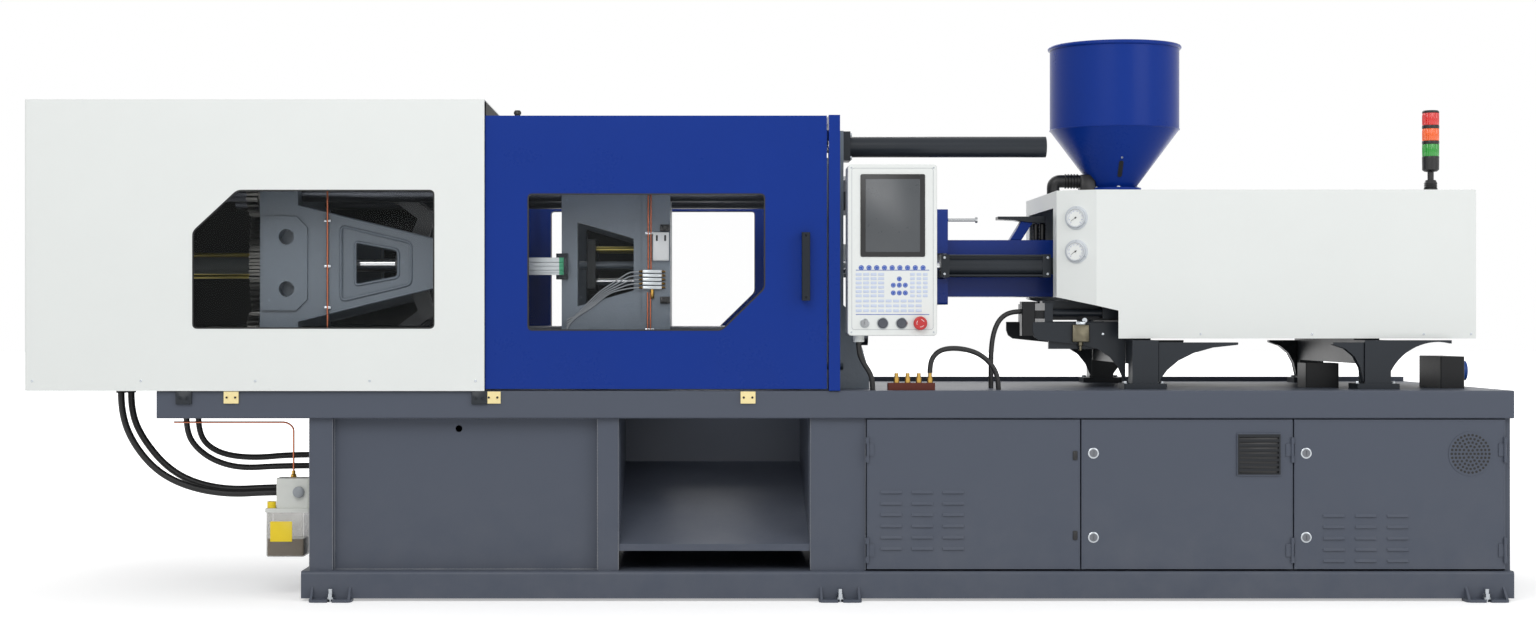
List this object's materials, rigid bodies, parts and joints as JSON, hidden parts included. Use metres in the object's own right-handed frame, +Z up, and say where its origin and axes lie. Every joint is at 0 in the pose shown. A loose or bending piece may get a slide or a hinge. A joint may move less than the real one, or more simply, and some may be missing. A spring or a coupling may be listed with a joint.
{
  "type": "injection moulding machine",
  "caption": "Horizontal toggle-clamp plastic injection moulding machine with guarded clamp, sliding doors, control panel, hopper and injection unit on a steel bed.",
  "frame": {"origin": "centre of the footprint at floor level", "axes": "+X along the machine from the clamp end to the injection end, -Y towards the operator, +Z up"},
  "size_m": [5.214, 1.38, 2.018],
  "materials": {
    "bed_grey": "satin",
    "white_paint": "satin",
    "blue_paint": "gloss",
    "casting": "painted, slightly rough",
    "dark_casting": "painted, slightly rough",
    "black_paint": "satin",
    "machined_steel": "ground",
    "chromed_steel": "polished",
    "zinc": "bright zinc",
    "yellow_zinc": "yellow passivated",
    "clear_sheet": "clear",
    "hose_rubber": "matt",
    "manifold_brass": "satin",
    "white_plastic": "satin",
    "oil_clear": "clear with oil",
    "dark_plastic": "matt",
    "red_plastic": "gloss",
    "gauge_metal": "polished",
    "signal_plastic": "translucent"
  },
  "bodies": {
    "machine": {"bed_frame": "bed_grey", "chute_tray": "bed_grey", "levelling_feet": "zinc", "guide_blocks": "yellow_zinc", "tie_bars": "chromed_steel", "fixed_platen": "casting", "safety_tube": "black_paint", "clamp_guard": "white_paint", "clamp_panes": "clear_sheet", "door_frame": "blue_paint", "control_panel": "white_paint", "panel_face": "dark_plastic", "hoses": "hose_rubber", "water_manifold": "manifold_brass", "junction_boxes": "black_paint", "lube_pump": "white_plastic", "lube_reservoir": "oil_clear", "injection_base": "black_paint", "seat_rods": "chromed_steel"},
    "front_door": {"front_door": "blue_paint", "front_pane": "clear_sheet"},
    "rear_door": {"rear_door": "blue_paint", "rear_pane": "clear_sheet"},
    "tail_platen": {"tail_platen": "casting", "clamp_cylinder": "machined_steel"},
    "ring_gear": {"ring_gear": "machined_steel"},
    "height_nut_1": {"height_nut_1": "machined_steel"},
    "height_nut_2": {"height_nut_2": "machined_steel"},
    "height_nut_3": {"height_nut_3": "machined_steel"},
    "height_nut_4": {"height_nut_4": "machined_steel"},
    "moving_platen": {"moving_platen": "casting", "safety_bar": "chromed_steel"},
    "ejector": {"ejector": "machined_steel"},
    "crosshead": {"crosshead": "dark_casting"},
    "rear_link_upper": {"rear_link_upper": "dark_casting"},
    "front_link_upper": {"front_link_upper": "dark_casting"},
    "cross_link_upper": {"cross_link_upper": "dark_casting"},
    "rear_link_lower": {"rear_link_lower": "dark_casting"},
    "front_link_lower": {"front_link_lower": "dark_casting"},
    "cross_link_lower": {"cross_link_lower": "dark_casting"},
    "carriage": {"carriage": "black_paint", "barrel": "machined_steel", "barrel_cover": "blue_paint", "hopper": "blue_paint", "injection_cover": "white_paint", "gauges": "gauge_metal", "signal_light": "signal_plastic"},
    "injection_ram": {"injection_ram": "black_paint"},
    "screw": {"screw": "machined_steel"},
    "cabinet_door_1": {"cabinet_door_1": "bed_grey"},
    "cabinet_door_2": {"cabinet_door_2": "bed_grey"},
    "cabinet_door_3": {"cabinet_door_3": "bed_grey"},
    "door_lock_1": {"door_lock_1": "chromed_steel"},
    "door_lock_2": {"door_lock_2": "chromed_steel"},
    "door_lock_3": {"door_lock_3": "chromed_steel"},
    "door_lock_4": {"door_lock_4": "chromed_steel"},
    "emergency_stop": {"emergency_stop": "red_plastic"},
    "push_button_1": {"push_button_1": "dark_plastic"},
    "push_button_2": {"push_button_2": "dark_plastic"},
    "key_switch": {"key_switch": "chromed_steel"}
  },
  "joints": [
    {"name": "front_door_slide", "type": "slide", "parent": "machine", "child": "front_door", "axis": [-1, 0, 0], "range_m": [0, 1.08]},
    {"name": "rear_door_slide", "type": "slide", "parent": "machine", "child": "rear_door", "axis": [-1, 0, 0], "range_m": [0, 1.08]},
    {"name": "tail_slide", "type": "slide", "parent": "machine", "child": "tail_platen", "axis": [1, 0, 0], "range_m": [-0.0601, 0.2401]},
    {"name": "ring_gear_turn", "type": "hinge", "parent": "tail_platen", "child": "ring_gear", "pos_m": [-1.873, 0, 1.19], "axis": [1, 0, 0], "range_deg": [-4000, 1000]},
    {"name": "height_nut_1_turn", "type": "hinge", "parent": "tail_platen", "child": "height_nut_1", "pos_m": [-1.873, -0.2625, 0.9275], "axis": [1, 0, 0], "range_deg": [-3601, 14401]},
    {"name": "height_nut_2_turn", "type": "hinge", "parent": "tail_platen", "child": "height_nut_2", "pos_m": [-1.873, -0.2625, 1.4525], "axis": [1, 0, 0], "range_deg": [-3601, 14401]},
    {"name": "height_nut_3_turn", "type": "hinge", "parent": "tail_platen", "child": "height_nut_3", "pos_m": [-1.873, 0.2625, 0.9275], "axis": [1, 0, 0], "range_deg": [-3601, 14401]},
    {"name": "height_nut_4_turn", "type": "hinge", "parent": "tail_platen", "child": "height_nut_4", "pos_m": [-1.873, 0.2625, 1.4525], "axis": [1, 0, 0], "range_deg": [-3601, 14401]},
    {"name": "clamp_slide", "type": "slide", "parent": "tail_platen", "child": "moving_platen", "axis": [-1, 0, 0], "range_m": [0, 0.39]},
    {"name": "crosshead_slide", "type": "slide", "parent": "tail_platen", "child": "crosshead", "axis": [-1, 0, 0], "range_m": [0, 0.26227]},
    {"name": "rear_link_upper_turn", "type": "hinge", "parent": "tail_platen", "child": "rear_link_upper", "pos_m": [-1.48, 0, 1.52], "axis": [0, 1, 0], "range_deg": [0, 129.04]},
    {"name": "front_link_upper_turn", "type": "hinge", "parent": "rear_link_upper", "child": "front_link_upper", "pos_m": [-1.26, 0, 1.52], "axis": [0, -1, 0], "range_deg": [0, 149.9]},
    {"name": "cross_link_upper_turn", "type": "hinge", "parent": "rear_link_upper", "child": "cross_link_upper", "pos_m": [-1.37, 0, 1.45], "axis": [0, -1, 0], "range_deg": [0, 113.02]},
    {"name": "rear_link_lower_turn", "type": "hinge", "parent": "tail_platen", "child": "rear_link_lower", "pos_m": [-1.48, 0, 0.86], "axis": [0, -1, 0], "range_deg": [0, 129.04]},
    {"name": "front_link_lower_turn", "type": "hinge", "parent": "rear_link_lower", "child": "front_link_lower", "pos_m": [-1.26, 0, 0.86], "axis": [0, 1, 0], "range_deg": [0, 149.9]},
    {"name": "cross_link_lower_turn", "type": "hinge", "parent": "rear_link_lower", "child": "cross_link_lower", "pos_m": [-1.37, 0, 0.93], "axis": [0, 1, 0], "range_deg": [0, 113.02]},
    {"name": "ejector_slide", "type": "slide", "parent": "moving_platen", "child": "ejector", "axis": [1, 0, 0], "range_m": [0, 0.12]},
    {"name": "carriage_slide", "type": "slide", "parent": "machine", "child": "carriage", "axis": [1, 0, 0], "range_m": [0, 0.3]},
    {"name": "injection_slide", "type": "slide", "parent": "carriage", "child": "injection_ram", "axis": [1, 0, 0], "range_m": [0, 0.2]},
    {"name": "screw_turn", "type": "hinge", "parent": "injection_ram", "child": "screw", "pos_m": [1, 0, 1.19], "axis": [1, 0, 0], "continuous": true},
    {"name": "cabinet_door_1_swing", "type": "hinge", "parent": "machine", "child": "cabinet_door_1", "pos_m": [0.343, -0.6373, 0.374], "axis": [0, 0, -1], "range_deg": [0, 110]},
    {"name": "cabinet_door_2_swing", "type": "hinge", "parent": "machine", "child": "cabinet_door_2", "pos_m": [1.831, -0.6373, 0.374], "axis": [0, 0, 1], "range_deg": [0, 110]},
    {"name": "cabinet_door_3_swing", "type": "hinge", "parent": "machine", "child": "cabinet_door_3", "pos_m": [2.576, -0.6373, 0.374], "axis": [0, 0, 1], "range_deg": [0, 110]},
    {"name": "door_lock_1_turn", "type": "hinge", "parent": "cabinet_door_2", "child": "door_lock_1", "pos_m": [1.134, -0.632, 0.518], "axis": [0, 1, 0], "range_deg": [0, 90]},
    {"name": "door_lock_2_turn", "type": "hinge", "parent": "cabinet_door_2", "child": "door_lock_2", "pos_m": [1.134, -0.632, 0.223], "axis": [0, 1, 0], "range_deg": [0, 90]},
    {"name": "door_lock_3_turn", "type": "hinge", "parent": "cabinet_door_3", "child": "door_lock_3", "pos_m": [1.88, -0.632, 0.518], "axis": [0, 1, 0], "range_deg": [0, 90]},
    {"name": "door_lock_4_turn", "type": "hinge", "parent": "cabinet_door_3", "child": "door_lock_4", "pos_m": [1.88, -0.632, 0.223], "axis": [0, 1, 0], "range_deg": [0, 90]},
    {"name": "emergency_stop_push", "type": "slide", "parent": "machine", "child": "emergency_stop", "axis": [0, 1, 0], "range_m": [0, 0.008]},
    {"name": "push_button_1_push", "type": "slide", "parent": "machine", "child": "push_button_1", "axis": [0, 1, 0], "range_m": [0, 0.006], "stiffness_N_per_m": 400},
    {"name": "push_button_2_push", "type": "slide", "parent": "machine", "child": "push_button_2", "axis": [0, 1, 0], "range_m": [0, 0.006], "stiffness_N_per_m": 400},
    {"name": "key_switch_turn", "type": "hinge", "parent": "machine", "child": "key_switch", "pos_m": [0.3306, -0.655, 0.974], "axis": [0, 1, 0], "range_deg": [0, 90]}
  ],
  "couplings": [
    {"joint": "tail_slide", "follows": "ring_gear_turn", "m_per_rad": -0.0034377},
    {"joint": "height_nut_1_turn", "follows": "ring_gear_turn", "ratio": -3.6},
    {"joint": "height_nut_2_turn", "follows": "ring_gear_turn", "ratio": -3.6},
    {"joint": "height_nut_3_turn", "follows": "ring_gear_turn", "ratio": -3.6},
    {"joint": "height_nut_4_turn", "follows": "ring_gear_turn", "ratio": -3.6},
    {"joint": "crosshead_slide", "follows": "clamp_slide", "ratio": 0.67222},
    {"joint": "rear_link_upper_turn", "follows": "clamp_slide", "rad_per_m": 5.7745},
    {"joint": "front_link_upper_turn", "follows": "clamp_slide", "rad_per_m": 6.7078},
    {"joint": "cross_link_upper_turn", "follows": "clamp_slide", "rad_per_m": 5.0575},
    {"joint": "rear_link_lower_turn", "follows": "clamp_slide", "rad_per_m": 5.7745},
    {"joint": "front_link_lower_turn", "follows": "clamp_slide", "rad_per_m": 6.7078},
    {"joint": "cross_link_lower_turn", "follows": "clamp_slide", "rad_per_m": 5.0575}
  ]
}
